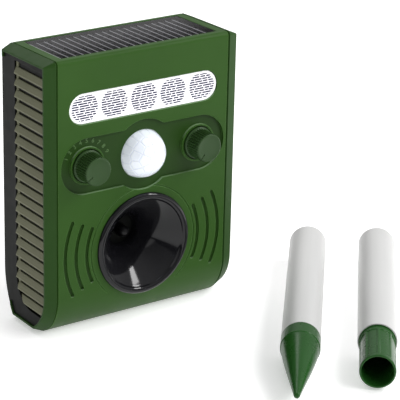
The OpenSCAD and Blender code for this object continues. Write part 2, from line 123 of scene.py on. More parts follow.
class Paint:
    """A material made of nodes, with a Principled shader to start from."""

    def __init__(self, name, roughness=0.5, metallic=0.0, coat=0.0, level=0.5):
        self.material = bpy.data.materials.new(name)
        self.material.use_nodes = True
        self.tree = self.material.node_tree
        self.tree.nodes.clear()
        self.out = self.add("OutputMaterial")
        self.shader = self.add("BsdfPrincipled")
        self.set(self.shader, "Roughness", roughness)
        self.set(self.shader, "Metallic", metallic)
        self.set(self.shader, "Coat Weight", coat)
        self.set(self.shader, "Coat Roughness", COAT_ROUGHNESS)
        self.set(self.shader, "Specular IOR Level", level)
        self.link(self.shader, "BSDF", self.out, "Surface")
        self.place = self.add("TexCoord")

    def add(self, kind):
        return self.tree.nodes.new("ShaderNode" + kind)

    def set(self, node, socket, value):
        node.inputs[socket].default_value = value

    def link(self, a, out, b, socket):
        self.tree.links.new(a.outputs[out], b.inputs[socket])

    def stretched(self, scale, turn=0.0):
        """Object coordinates turned about Z by degrees and then times three factors, for streaks."""
        m = self.add("Mapping")
        m.vector_type = "TEXTURE"
        self.set(m, "Scale", tuple(1 / c for c in scale))
        self.set(m, "Rotation", (0.0, 0.0, math.radians(turn)))
        self.link(self.place, "Object", m, "Vector")
        return m

    def axes(self):
        """Object coordinates as X, Y and Z, in metres."""
        parts = self.add("SeparateXYZ")
        self.link(self.place, "Object", parts, "Vector")
        return parts

    def noise(self, scale, detail=3.0, source=None, roughness=0.55):
        """Noise over the object's coordinates, or over another node's vector."""
        n = self.add("TexNoise")
        self.set(n, "Scale", scale)
        self.set(n, "Detail", detail)
        self.set(n, "Roughness", roughness)
        if source is None:
            self.link(self.place, "Object", n, "Vector")
        else:
            self.link(source, "Vector", n, "Vector")
        return n

    def spread(self, node, out, low, high, lo_in=0.3, hi_in=0.7):
        """A value moved from the range lo_in to hi_in into low to high."""
        r = self.add("MapRange")
        self.set(r, "From Min", lo_in)
        self.set(r, "From Max", hi_in)
        self.set(r, "To Min", low)
        self.set(r, "To Max", high)
        self.link(node, out, r, "Value")
        return r

    def mix(self, factor_node, factor_out, a, b):
        """Colours a and b, each a tuple or a (node, output) pair, mixed by a factor."""
        m = self.add("Mix")
        m.data_type = "RGBA"
        self.link(factor_node, factor_out, m, "Factor")
        for socket, value in (("A", a), ("B", b)):
            place = [s for s in m.inputs if s.name == socket and s.type == "RGBA"][0]
            if isinstance(value, tuple) and isinstance(value[0], float):
                place.default_value = value
            else:
                self.tree.links.new(value[0].outputs[value[1]], place)
        return m

    def paint(self, mix):
        """Makes a mix node the base colour."""
        self.link(mix, MIXED, self.shader, "Base Color")

    def times(self, node, out, factor):
        """A value times a number, or times another (node, output) pair."""
        m = self.add("Math")
        m.operation = "MULTIPLY"
        self.link(node, out, m, 0)
        if isinstance(factor, tuple):
            self.link(factor[0], factor[1], m, 1)
        else:
            self.set(m, 1, factor)
        return m

    def glow(self, colour, strength):
        """Light of its own, to stand in for light that comes through."""
        self.set(self.shader, "Emission Color", shade(colour, 1.0))
        self.set(self.shader, "Emission Strength", strength)

    def bump(self, node, out, strength, distance, normal=None):
        """A height made into a normal, on top of another node's normal if one is given."""
        b = self.add("Bump")
        self.set(b, "Strength", strength)
        self.set(b, "Distance", distance * MM)
        self.link(node, out, b, "Height")
        if normal is not None:
            self.link(normal, "Normal", b, "Normal")
        return b

    def rounded(self, radius):
        """A normal that rounds off edges by a radius, and a mask that is 1 on them."""
        soft = self.add("Bevel")
        soft.samples = BEVEL_SAMPLES
        self.set(soft, "Radius", radius * MM)
        flat = self.add("NewGeometry")
        dot = self.add("VectorMath")
        dot.operation = "DOT_PRODUCT"
        self.link(soft, "Normal", dot, 0)
        self.link(flat, "Normal", dot, 1)
        return soft, self.spread(dot, "Value", 1.0, 0.0, 0.86, 0.995)


def sunk_shade_and_highlights(p, base, colour, sunk):
    """Painted shade on flat floors between two depths behind the front panel, painted highlights on ledges.

    The ledges are the faces that rise below the light strip, down to the second depth.
    """
    axes = p.axes()
    facing = p.add("SeparateXYZ")
    p.link(p.add("NewGeometry"), "Normal", facing, "Vector")
    starts, ends = ((FRONT_Y + depth) * MM for depth in sunk)
    within = p.spread(axes, "Y", 0.0, 1.0, starts - SUNK_FADE * MM, starts)
    beyond = p.spread(axes, "Y", 1.0, 0.0, ends, ends + SUNK_FADE * MM)
    flat = p.spread(facing, "Y", 1.0, 0.0, -0.998, -0.98)
    between = p.times(within, "Result", (beyond, "Result"))
    floors = p.times(between, "Value", (flat, "Result"))
    # Painted shade: the recess floors take the colour at 0.62 of its strength.
    base = p.mix(floors, "Value", (base, MIXED), shade(colour, 0.62))
    rising = p.spread(facing, "Z", 0.0, 1.0, 0.35, 0.7)
    below = p.spread(axes, "Z", 1.0, 0.0, LED.z * MM, (LED.z + 1) * MM)
    ledges = p.times(p.times(rising, "Result", (beyond, "Result")), "Value", (below, "Result"))
    # Painted highlight: the rising ledges below the light strip take a much paler colour.
    return p.mix(ledges, "Value", (base, MIXED), paler(colour, 2, 0.15))


def moulded(
    name, colour, roughness=0.42, grain=0.35, wear_and_glint=0.4, coat=0.0, edge=0.35, level=0.25, sunk=None
):
    """Moulded plastic: fine sparked grain, slow change of tone, and rounded edges paled by wear and painted
    highlight.

    When sunk is given, it holds the two depths of the recess that gets painted shade and painted
    highlights.
    """
    p = Paint(name, coat=coat, level=level)
    soft, edges = p.rounded(edge)
    tone = p.noise(22.0, 4.0)
    fine = p.noise(2400.0, 2.0)
    base = p.mix(p.spread(tone, "Fac", 0.0, 1.0), "Result", shade(colour, 0.93), shade(colour, 1.06))
    if sunk:
        base = sunk_shade_and_highlights(p, base, colour, sunk)
    # Paler rounded edges: partly wear, partly painted highlight where the edges catch the light.
    wear_and_glint_amount = p.times(edges, "Result", wear_and_glint)
    p.paint(p.mix(wear_and_glint_amount, "Value", (base, MIXED), paler(colour, 2.4, 0.025)))
    rough = p.noise(160.0, 5.0)
    p.link(p.spread(rough, "Fac", roughness * 0.92, roughness * 1.1), "Result", p.shader, "Roughness")
    p.link(p.bump(fine, "Fac", grain, 0.03, soft), "Normal", p.shader, "Normal")
    return p.material


def streaky_metal(name, colour, roughness, metallic, streaks, turn=0.0):
    """A Paint for metal that shines unevenly, and its streaky colour as a mix node."""
    p = Paint(name, metallic=metallic)
    lines = p.noise(30.0, 2.0, p.stretched(streaks, turn), 0.6)
    slow = p.noise(35.0, 3.0)
    base = p.mix(p.spread(lines, "Fac", 0.0, 1.0), "Result", shade(colour, 0.975), shade(colour, 1.02))
    p.link(p.spread(slow, "Fac", roughness - 0.04, roughness + 0.05), "Result", p.shader, "Roughness")
    return p, base


def satin_metal(name, colour, roughness, grain, metallic=1.0):
    """Metal with a fine even grain and slightly brighter edges."""
    p, base = streaky_metal(name, colour, roughness, metallic, (60.0, 60.0, 60.0))
    soft, edges = p.rounded(0.2)
    p.paint(p.mix(edges, "Result", (base, MIXED), shade(colour, 1.12)))
    grit = p.noise(2600.0, 2.0)
    p.link(p.bump(grit, "Fac", grain, 0.02, soft), "Normal", p.shader, "Normal")
    return p.material


def drawn_tube(name, colour, roughness, metallic, streaks, turn):
    """Satin tube, with faint streaks along its axis and no grain."""
    p, base = streaky_metal(name, colour, roughness, metallic, streaks, turn)
    p.paint(base)
    return p.material


def circuit(name):
    """Solder mask over copper tracks."""
    p = Paint(name, 0.35, coat=0.3)
    tracks = p.add("TexBrick")
    p.set(tracks, "Scale", 260.0)
    p.set(tracks, "Color1", (0.012, 0.10, 0.035, 1.0))
    p.set(tracks, "Color2", (0.018, 0.13, 0.045, 1.0))
    p.set(tracks, "Mortar", (0.03, 0.20, 0.07, 1.0))
    p.link(p.place, "Object", tracks, "Vector")
    p.link(tracks, "Color", p.shader, "Base Color")
    p.link(p.bump(tracks, "Fac", 0.3, 0.05), "Normal", p.shader, "Normal")
    return p.material


def cell_silicon(name):
    """Dark crystalline silicon: small grains of slightly different tone, paler towards the back."""
    p = Paint(name, 0.3, level=0.2)
    grains = p.add("TexVoronoi")
    p.set(grains, "Scale", 420.0)
    p.link(p.place, "Object", grains, "Vector")
    tone = p.add("SeparateColor")
    p.link(grains, "Color", tone, "Color")
    grain = p.mix(tone, "Red", (0.004, 0.004, 0.006, 1.0), (0.014, 0.014, 0.018, 1.0))
    lo, hi = span("solar_cells")
    paler_back = p.spread(p.axes(), "Y", 0.0, 0.6, lo.y * MM, hi.y * MM)
    p.paint(p.mix(paler_back, "Result", (grain, MIXED), (0.13, 0.13, 0.135, 1.0)))
    p.link(p.spread(tone, "Green", 0.22, 0.4, 0.0, 1.0), "Result", p.shader, "Roughness")
    return p.material


def cover_glass(name):
    """Thin flat glass: clear seen from above, and a mirror at a low angle."""
    p = Paint(name)
    clear = p.add("BsdfTransparent")
    p.set(clear, "Color", (0.9, 0.9, 0.92, 1.0))
    gloss = p.add("BsdfGlossy")
    smear = p.noise(60.0, 5.0)
    p.link(p.spread(smear, "Fac", 0.1, 0.2), "Result", gloss, "Roughness")
    lo, hi = span("solar_glass")
    # Painted reflection: the mirror is dim at the front of the panel and bright at its back.
    painted_sheen = p.spread(p.axes(), "Y", 0.15, 0.9, lo.y * MM, hi.y * MM)
    p.link(painted_sheen, "Result", gloss, "Color")
    fresnel = p.add("Fresnel")
    p.set(fresnel, "IOR", 1.28)
    both = p.add("MixShader")
    p.link(fresnel, "Fac", both, "Fac")
    p.link(clear, "BSDF", both, 1)
    p.link(gloss, "BSDF", both, 2)
    p.link(both, "Shader", p.out, "Surface")
    return p.material


def milky(name, colour, roughness, depth=0.35, painted_glow=0.0, creases=False):
    """Milky plastic that lets light in a little way; if asked, it gets a painted glow and painted shade in
    its creases.
    """
    p = Paint(name, roughness, coat=0.5)
    # Painted glow: light of the plastic's own, as if light came through it.
    p.glow(colour, painted_glow)
    cloud = p.noise(140.0, 4.0)
    base = p.mix(p.spread(cloud, "Fac", 0.0, 1.0), "Result", shade(colour, 0.965), shade(colour, 1.0))
    if creases:
        # Painted shade: the creases of the surface are darkened.
        crease_shade = p.spread(p.add("NewGeometry"), "Pointiness", 1.0, 0.0, 0.47, 0.5)
        base = p.mix(crease_shade, "Result", (base, MIXED), shade(colour, 0.76))
    p.paint(base)
    p.set(p.shader, "Subsurface Weight", depth)
    p.set(p.shader, "Subsurface Radius", (0.9, 0.95, 1.0))
    p.set(p.shader, "Subsurface Scale", 1.2 * MM)
    p.link(p.spread(cloud, "Fac", roughness - 0.04, roughness + 0.05), "Result", p.shader, "Roughness")
    fine = p.noise(900.0, 2.0)
    p.link(p.bump(fine, "Fac", 0.12, 0.02), "Normal", p.shader, "Normal")
    return p.material


GREEN = srgb(46, 80, 26)
BLACK = srgb(13, 15, 12)
LIT_LOUVRE_OLIVE = srgb(118, 119, 96)
ALUMINIUM = srgb(205, 205, 204)

green = moulded("green_plastic", GREEN, 0.45, wear_and_glint=0.9, edge=0.45, level=0.15, sunk=(1.3, 2.2))
# Painted shade: the side rails get a darker copy of the same green plastic.
shaded_side_green = moulded("shaded_side_green", srgb(40, 70, 26), 0.5, level=0.12)
knob_green = moulded("knob_green", srgb(42, 68, 32), 0.36, grain=0.15, wear_and_glint=0.9, edge=0.25)
stake_green = moulded("stake_green", srgb(30, 76, 26), 0.28, grain=0.04, wear_and_glint=0.6, level=0.2)
numeral_green = moulded("numeral_green", srgb(84, 116, 68), 0.4, edge=0.05)
black = moulded("black_plastic", BLACK, 0.5, level=0.12)
# Painted light: the louvres are black plastic, and this pale olive-grey stands in for the light that their
# slats catch.
lit_louvre = moulded("olive_plastic", LIT_LOUVRE_OLIVE, 0.5, wear_and_glint=0.5, edge=0.15)
gloss = moulded("horn_plastic", srgb(19, 19, 22), 0.1, grain=0.02, wear_and_glint=0.1, coat=0.1, edge=0.15, level=0.3)
inner = moulded("throat_plastic", srgb(14, 14, 15), 0.3, grain=0.1, wear_and_glint=0.1)
rubber = moulded("rubber", srgb(36, 36, 36), 0.75, grain=0.6, wear_and_glint=0.15)
white_case = milky("white_plastic", srgb(236, 236, 240), 0.28, 0.1)
# The dome and the lens get a painted glow, and the dome also gets painted shade in its creases.
dome_milk = milky("milky_plastic", srgb(234, 240, 250), 0.18, 0.12, 0.24, creases=True)
lens_clear = milky("lens_plastic", srgb(246, 246, 249), 0.22, 0.1, 0.3)
# Painted shade: the clear lens ridges are coloured dark grey-blue, for the dark look of the lens prisms.
prism_painted_shade = moulded("prism_painted_shade", srgb(38, 36, 74), 0.5, grain=0.1, wear_and_glint=0.2, edge=0.04, level=0.1)
steel = satin_metal("steel", (0.55, 0.55, 0.56), 0.32, 0.2)
silver_ink = satin_metal("silver_ink", srgb(232, 232, 236), 0.4, 0.3, 0.1)
tube_metal = drawn_tube("aluminium", ALUMINIUM, 0.45, 0.15, (7.0, 0.3, 7.0), -STAKE_TURN)
wrap = moulded("cell_wrap", srgb(70, 120, 84), 0.3, coat=0.4)
lead_red = moulded("lead_insulation", srgb(150, 34, 28), 0.45)
lead_black = moulded("lead_black", srgb(28, 28, 28), 0.45)
pcb = circuit("circuit_board")
silicon = cell_silicon("solar_silicon")
glass = cover_glass("solar_cover")

CAD_PAINTS = {
    green: ["front_cover", "knob_left", "knob_right"],
    shaded_side_green: ["side_frame_left", "side_frame_right"],
    stake_green: ["stake_spike", "stake_coupler"],
    black: [
        "rear_cover", "solar_backing", "pir_shroud", "main_chips", "battery_holder", "battery_door",
        "charge_port", "stake_socket", "horn_driver",
    ],
    lit_louvre: ["side_louvre_left", "side_louvre_right"],
    inner: ["horn", "phase_plug"],
    dome_milk: ["pir_lens"],
    white_case: ["led_reflector", "leds"],
    lens_clear: ["led_lens"],
    silicon: ["solar_cells"],
    glass: ["solar_glass"],
    pcb: ["led_board", "main_board"],
    rubber: ["solar_gasket", "battery_gasket", "port_plug"],
    steel: [
        "pir_sensor", "board_screws", "potentiometer_left", "potentiometer_right", "knob_shaft_left",
        "knob_shaft_right", "housing_screws", "battery_contacts", "door_screws",
    ],
    wrap: ["batteries"],
    lead_red: ["solar_leads", "battery_leads", "led_leads"],
    lead_black: ["speaker_leads"],
    tube_metal: ["stake_tube_lower", "stake_tube_upper"],
}
for material, names in CAD_PAINTS.items():
    for name in names:
        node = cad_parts[name]
        node.data.materials.clear()
        node.data.materials.append(material)


# ---- Mesh helpers ----


def piece(name, verts, faces, material, body, replaces=(), sharp=32.0):
    """A closed mesh in the row frame, from points in millimetres, that rides on a CAD body."""
    mesh = bpy.data.meshes.new(name)
    mesh.from_pydata([tuple(MM * c for c in v) for v in verts], [], faces)
    work = bmesh.new()
    work.from_mesh(mesh)
    bmesh.ops.remove_doubles(work, verts=work.verts, dist=0.002 * MM)
    bmesh.ops.recalc_face_normals(work, faces=work.faces)
    work.to_mesh(mesh)
    work.free()
    mesh.polygons.foreach_set("use_smooth", [True] * len(mesh.polygons))
    mesh.set_sharp_from_angle(angle=math.radians(sharp))
    mesh.materials.append(material)
    made = bpy.data.objects.new(name, mesh)
    bpy.context.scene.collection.objects.link(made)
    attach(made, body)
    if replaces:
        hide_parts(*replaces)
    return made


def rings(loops, closed=False):
    """Points and faces that join loops of equal length, and the last loop to the first if closed."""
    n = len(loops[0])
    verts = [p for loop in loops for p in loop]
    pairs = [(i, i + 1) for i in range(len(loops) - 1)]
    if closed:
        pairs.append((len(loops) - 1, 0))
    faces = []
    for a, b in pairs:
        for k in range(n):
            j = (k + 1) % n
            faces.append((a * n + k, a * n + j, b * n + j, b * n + k))
    return verts, faces


def capped(loops):
    """Points and faces of a solid that runs from the first loop to the last, with flat ends."""
    verts, faces = rings(loops)
    n = len(loops[0])
    faces.append(tuple(range(n)))
    faces.append(tuple(range(len(verts) - 1, len(verts) - n - 1, -1)))
    return verts, faces


def turned(outline, x, z, count=160):
    """A shape turned about an axis along Y; the outline is (radius, y), and ends on the axis or closes."""
    angles = [2 * math.pi * k / count for k in range(count)]
    loops = [[(x + r * math.cos(a), y, z + r * math.sin(a)) for a in angles] for r, y in outline]
    on_axis = outline[0][0] == 0 and outline[-1][0] == 0
    return rings(loops, closed=not on_axis)


def bow(cx, cy, r, start, end, steps):
    """Points (radius, y) on an arc, from one angle to another in degrees."""
    angles = [math.radians(start + (end - start) * i / steps) for i in range(steps + 1)]
    return [(cx + r * math.cos(a), cy + r * math.sin(a)) for a in angles]


def stadium(w, h, steps=24):
    """Outline of a slot-shaped plate, as (x, z) about its middle."""
    r = h / 2
    points = []
    for side in (1, -1):
        for i in range(steps + 1):
            a = math.radians(-90 + 180 * i / steps)
            points.append((side * ((w - h) / 2 + r * math.cos(a)), side * r * math.sin(a)))
    return points


# ---- Sounder horn ----

THROAT_R = 7.5
HORN_DEPTH = 18.0
HORN_WALL = 1.5
FLARE_STEPS = 48
LIP_R = HORN.x + (HORN_HI.x - HORN_LO.x) / 2
LIP_W = 3.6
LIP_ROUND = 1.75
FOOT_W = 2.3
MOUTH_R = LIP_R - LIP_W


def horn_outline():
    """Exponential flare out from the throat, mouth step, lip and foot, and the same way back outside."""
    throat_y = FRONT_Y + HORN_DEPTH
    flare = [
        (THROAT_R * (MOUTH_R / THROAT_R) ** (i / FLARE_STEPS), throat_y - i / FLARE_STEPS * HORN_DEPTH)
        for i in range(FLARE_STEPS + 1)
    ]
    step = [(MOUTH_R + 0.25, FRONT_Y - 0.5), (MOUTH_R + 0.55, FRONT_Y - 1.0)]
    lip = bow(LIP_R - LIP_ROUND, HORN_LO.y + LIP_ROUND, LIP_ROUND, 215, 360, 18)
    foot = [(LIP_R, FRONT_Y), (LIP_R - FOOT_W, FRONT_Y), (LIP_R - FOOT_W, FRONT_Y + 3)]
    outside = [(r + HORN_WALL, y) for r, y in flare[::-4] if y > FRONT_Y + 4]
    neck = [(THROAT_R + HORN_WALL, HORN_HI.y), (THROAT_R, HORN_HI.y)]
    return flare + step + lip + foot + outside + neck


verts, faces = turned(horn_outline(), HORN.x, HORN.z, 192)
piece("sounder_horn", verts, faces, gloss, "unit", ["horn"], 38)


# ---- Motion sensor dome ----

DOME_R = 12.0
DOME_WALL = 1.0
DOME_FLANGE = 2.2

GROOVE_DEPTH = 0.3
FACET_SINK = 0.2

# Angles seen from the dome's centre, in degrees: the rings of lens facets as (tilt from the axis,
# how many, turn of the ring), half a groove, half a facet, and the fade at the dome's foot
FACET_RINGS = ((0.0, 1, 0.0), (25.0, 6, 0.0), (47.0, 12, 15.0), (69.0, 16, 0.0))
FACET_GROOVE = 2.4
FACET_HALF = 12.5
RIM_FADE = 6.0


def facet_centres():
    """Directions from the dome's centre to the middle of each facet."""
    centres = []
    for tilt, count, offset in FACET_RINGS:
        for k in range(count):
            t = math.radians(tilt)
            a = math.radians(offset + 360 * k / count)
            centres.append((math.sin(t) * math.cos(a), -math.cos(t), math.sin(t) * math.sin(a)))
    return np.array(centres)


def fresnel_dome(count=216, steps=84):
    """A dome whose outside is a honeycomb of slightly flattened lens facets with grooves between."""
    base_y = PIR_LO.y + DOME_R
    centres = facet_centres()
    loops = []
    for i in range(steps + 1):
        t = math.radians(90 * i / steps)
        a = np.arange(count) * 2 * math.pi / count
        ways = np.stack([np.sin(t) * np.cos(a), -np.cos(t) + 0 * a, np.sin(t) * np.sin(a)], 1)
        near = np.sort(np.degrees(np.arccos(np.clip(ways @ centres.T, -1, 1))), axis=1)
        rim = (near[:, 1] - near[:, 0]) / 2
        groove = np.clip(1 - rim / FACET_GROOVE, 0, 1) ** 2
        flat = np.clip(1 - (near[:, 0] / FACET_HALF) ** 2, 0, 1)
        fade = min(1.0, (90 - math.degrees(t)) / RIM_FADE)
        r = DOME_R - fade * (GROOVE_DEPTH * groove + FACET_SINK * flat)
        points = ways * r[:, None]
        loops.append([(PIR.x + p[0], base_y + p[1], PIR.z + p[2]) for p in points])
    flange = [
        (DOME_R, PIR_HI.y - 1), (DOME_R + DOME_FLANGE, PIR_HI.y - 1),
        (DOME_R + DOME_FLANGE, PIR_HI.y), (DOME_R - DOME_WALL, PIR_HI.y),
    ]
    inside = bow(0, base_y, DOME_R - DOME_WALL, 0, -90, 24)
    tail = flange + inside[:-1] + [(0.0, base_y - DOME_R + DOME_WALL)]
    around = [2 * math.pi * k / count for k in range(count)]
    loops += [[(PIR.x + r * math.cos(a), y, PIR.z + r * math.sin(a)) for a in around] for r, y in tail]
    return rings(loops)


verts, faces = fresnel_dome()
piece("sensor_dome", verts, faces, dome_milk, "unit", ["pir_lens"], 50)


# ---- LED light strip ----

STRIP_W = 83.0
STRIP_H = 15.0
LED_COUNT = 5
LED_PITCH = 16.5
DISC_R = 7.45
ROW_PITCH = 1.18
ROWS_EACH_WAY = 6
PRISM_H = 0.7
PRISM_PROUD = 0.16
PRISM_LENGTHS = (1.8, 2.8, 4.0, 5.0)
PRISM_GAPS = (0.35, 0.45, 0.6)
SHORTEST_PRISM = 0.8


def led_window():
    """Slot-shaped window with a rounded rim and a flange behind the panel."""
    face_y, back_y = LED_LO.y, LED_HI.y
    steps = [
        (1.6, face_y + 0.3), (0.9, face_y + 0.06), (0.45, face_y), (0.15, face_y + 0.12),
        (0.0, face_y + 0.4), (0.0, back_y - 1), (-1.5, back_y - 1), (-1.5, back_y),
    ]
    loops = []
    for inset, y in steps:
        outline = stadium(STRIP_W - 2 * inset, STRIP_H - 2 * inset)
        loops.append([(LED.x + x, y, LED.z + z) for x, z in outline])
    return capped(loops)


def roof(x0, x1, z, half, y, proud):
    """A little ridge with hipped ends that stands proud of the plane y."""
    end = min(half, (x1 - x0) / 3)
    verts = [
        (x0, y, z - half), (x1, y, z - half), (x1, y, z + half), (x0, y, z + half),
        (x0 + end, y - proud, z), (x1 - end, y - proud, z),
    ]
    faces = [(0, 1, 5, 4), (1, 2, 5), (2, 3, 4, 5), (3, 0, 4), (3, 2, 1, 0)]
    return verts, faces


def joined(parts):
    """Several (points, faces) pairs as one."""
    verts, faces = [], []
    for v, f in parts:
        faces += [tuple(i + len(verts) for i in face) for face in f]
        verts += v
    return verts, faces


def prisms():
    """Rows of short ridges that fill a circle in front of each LED."""
    draw = random.Random(7)
    y = LED_LO.y + 0.3
    parts = []
    for i in range(LED_COUNT):
        cx = LED.x + (i - (LED_COUNT - 1) / 2) * LED_PITCH
        for row in range(-ROWS_EACH_WAY, ROWS_EACH_WAY + 1):
            z = row * ROW_PITCH
            reach = math.sqrt(max(DISC_R**2 - z * z, 0)) - 0.1
            x = -reach + draw.uniform(0, 0.3)
            while x < reach - SHORTEST_PRISM:
                end = min(x + draw.choice(PRISM_LENGTHS), reach)
                parts.append(roof(cx + x, cx + end, LED.z + z, PRISM_H / 2, y, PRISM_PROUD))
                x = end + draw.choice(PRISM_GAPS)
    return joined(parts)


verts, faces = led_window()
piece("led_window", verts, faces, lens_clear, "unit", ["led_lens"], 40)
verts, faces = prisms()
piece("led_prisms", verts, faces, prism_painted_shade, "unit", sharp=15)


# ---- Solar panel ----

FINGERS = 21
FINGER_W = 0.6
FINGER_T = 0.06
FINGER_SUNK = 0.04
CELLS_T = 0.3


def solar_fingers():
    """Thin silver lines along the cells, from the front of the panel down to its back."""
    lo, hi = span("solar_cells")
    front_z = hi.z + 0.02
    back_z = front_z - (hi.z - lo.z - CELLS_T)
    w = FINGER_W / 2
    section = [(-w, -FINGER_SUNK), (w, -FINGER_SUNK), (w - 0.1, FINGER_T), (0.1 - w, FINGER_T)]
    faces = [(0, 1, 2, 3), (7, 6, 5, 4), (0, 4, 5, 1), (1, 5, 6, 2), (2, 6, 7, 3), (3, 7, 4, 0)]
    parts = []
    for k in range(FINGERS):
        x = lo.x + (k + 0.5) * (hi.x - lo.x) / FINGERS
        near = [(x + u, lo.y + 0.2, front_z + v) for u, v in section]
        far = [(x + u, hi.y - 0.2, back_z + v) for u, v in section]
        parts.append((near + far, faces))
    return joined(parts)


verts, faces = solar_fingers()
piece("solar_fingers", verts, faces, silver_ink, "unit", sharp=20)


# ---- Knobs ----

FLUTES = 36

# Where each pointer stands at rest, in degrees clockwise from straight up, as in part.scad
POINTERS = {"left": 236.0, "right": 222.0}
POINTER_CUT = 0.75


def knob_outline(face, back):
    """Dished face, fluted side, skirt and shaft hole, as (radius, y, flute depth)."""
    return [
        (0.0, face + 0.35, 0.0), (3.0, face + 0.33, 0.0), (5.2, face + 0.22, 0.0),
        (5.9, face + 0.06, 0.0), (6.25, face, 0.0), (6.6, face + 0.05, 0.0),
        (6.9, face + 0.3, 0.15), (7.1, face + 0.7, 0.45), (7.15, face + 1.1, 0.5),
        (7.3, back - 2.4, 0.5), (7.35, back - 1.7, 0.4), (7.4, back - 1.35, 0.0),
        (7.75, back - 1.2, 0.0), (7.9, back - 1.05, 0.0), (7.9, back, 0.0),
        (3.05, back, 0.0), (3.05, face + 2.2, 0.0), (0.0, face + 2.2, 0.0),
    ]


def pointer_cutter(cx, cz, face, turn, body):
    """An arrow-shaped bar that cuts the pointer into a knob's face."""
    along = Vector((math.sin(turn), 0, math.cos(turn)))
    across = Vector((math.cos(turn), 0, -math.sin(turn)))
    arrow = [(3.3, 0.0), (4.6, 0.5), (4.6, 0.22), (8.5, 0.22), (8.5, -0.22), (4.6, -0.22), (4.6, -0.5)]
    outline = [Vector((cx, 0, cz)) + along * u + across * v for u, v in arrow]
    loops = [[(p.x, y, p.z) for p in outline] for y in (face - 1, face + POINTER_CUT)]
    verts, faces = capped(loops)
    return piece("cutter", verts, faces, knob_green, body)


def cut(made, cutter, sharp):
    """Takes the cutter's shape out of a piece, and removes the cutter."""
    boolean = made.modifiers.new("pointer", "BOOLEAN")
    boolean.object = cutter
    boolean.operation = "DIFFERENCE"
    boolean.solver = "EXACT"
    bpy.context.view_layer.update()
    graph = bpy.context.evaluated_depsgraph_get()
    cut_mesh = bpy.data.meshes.new_from_object(made.evaluated_get(graph))
    made.modifiers.clear()
    made.data = cut_mesh
    cut_mesh.set_sharp_from_angle(angle=math.radians(sharp))
    bpy.data.objects.remove(cutter)


def knob(side):
    """A fluted dial knob with a dished face and a cut pointer."""
    lo, hi = span("knob_" + side)
    cx, cz = (lo.x + hi.x) / 2, (lo.z + hi.z) / 2
    count = FLUTES * 8
    loops = []
    for r, y, depth in knob_outline(lo.y, hi.y):
        loop = []
        for k in range(count):
            a = 2 * math.pi * k / count
            flute = depth * (0.5 - 0.5 * math.cos(FLUTES * a)) ** 1.5
            loop.append((cx + (r - flute) * math.cos(a), y, cz + (r - flute) * math.sin(a)))
        loops.append(loop)
    verts, faces = rings(loops)
    body = "dial_" + side
    made = piece("dial_knob_" + side, verts, faces, knob_green, body, ["knob_" + side], 40)
    cut(made, pointer_cutter(cx, cz, lo.y, math.radians(POINTERS[side]), body), 40)


for side in ("left", "right"):
    knob(side)


# ---- Numbers round the left dial ----

NUMERAL_R = 12.2
NUMERAL_STEP = 16.4
NUMERAL_SIZE = 2.9
NUMERAL_COUNT = 9
NUMERAL_PROUD = 0.09
BAND_DEPTH = 1.4
NUMERAL_BACK = 0.06


def numerals():
    """Small raised numbers on an arc above the left dial, joined into one piece."""
    lo, hi = span("knob_left")
    cx, cz = (lo.x + hi.x) / 2, (lo.z + hi.z) / 2
    made = []
    for i in range(NUMERAL_COUNT):
        text = bpy.data.curves.new("number", "FONT")
        text.body = str(i + 1)
        text.size = NUMERAL_SIZE * MM
        text.extrude = NUMERAL_PROUD * MM
        text.offset = 0.02 * MM
        text.align_x, text.align_y = "CENTER", "CENTER"
        word = bpy.data.objects.new("number", text)
        bpy.context.scene.collection.objects.link(word)
        turn = math.radians((i - (NUMERAL_COUNT - 1) / 2) * NUMERAL_STEP)
        x = cx + NUMERAL_R * math.sin(turn)
        z = cz + NUMERAL_R * math.cos(turn)
        word.matrix_world = (
            Matrix.Translation(Vector((x, FRONT_Y + BAND_DEPTH - NUMERAL_BACK, z)) * MM)
            @ Matrix.Rotation(turn, 4, "Y")
            @ Matrix.Rotation(math.pi / 2, 4, "X")
        )
        made.append(word)
    bpy.context.view_layer.update()
    graph = bpy.context.evaluated_depsgraph_get()
    work = bmesh.new()
    for word in made:
        mesh = bpy.data.meshes.new_from_object(word.evaluated_get(graph))
        mesh.transform(word.matrix_world)
        work.from_mesh(mesh)
        bpy.data.objects.remove(word)
    bmesh.ops.remove_doubles(work, verts=work.verts, dist=0.001 * MM)
    mesh = bpy.data.meshes.new("dial_numerals")
    work.to_mesh(mesh)
    work.free()
    mesh.materials.clear()
    mesh.materials.append(numeral_green)
    whole = bpy.data.objects.new("dial_numerals", mesh)
    bpy.context.scene.collection.objects.link(whole)
    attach(whole, "unit")


numerals()


# ---- Ground stake ----

# Sizes follow part.scad, apart from a blunter tip and a seat that stays inside the tube's wall
SEAT_R = 8.95
SEAT_L = 14.0
COUPLER_R = 8.5
COUPLER_BORE_R = 7.5
COUPLER_L = 32.0
PANELS = 8
PANEL_CUT = 0.4
RIB_HALF = 0.16
RIB_SLOPE = 0.1
COLLAR_R = 9.5
COLLAR_L = 10.0
CONE_L = 49.0
CONE_STEPS = 24
TIP_R = 1.5


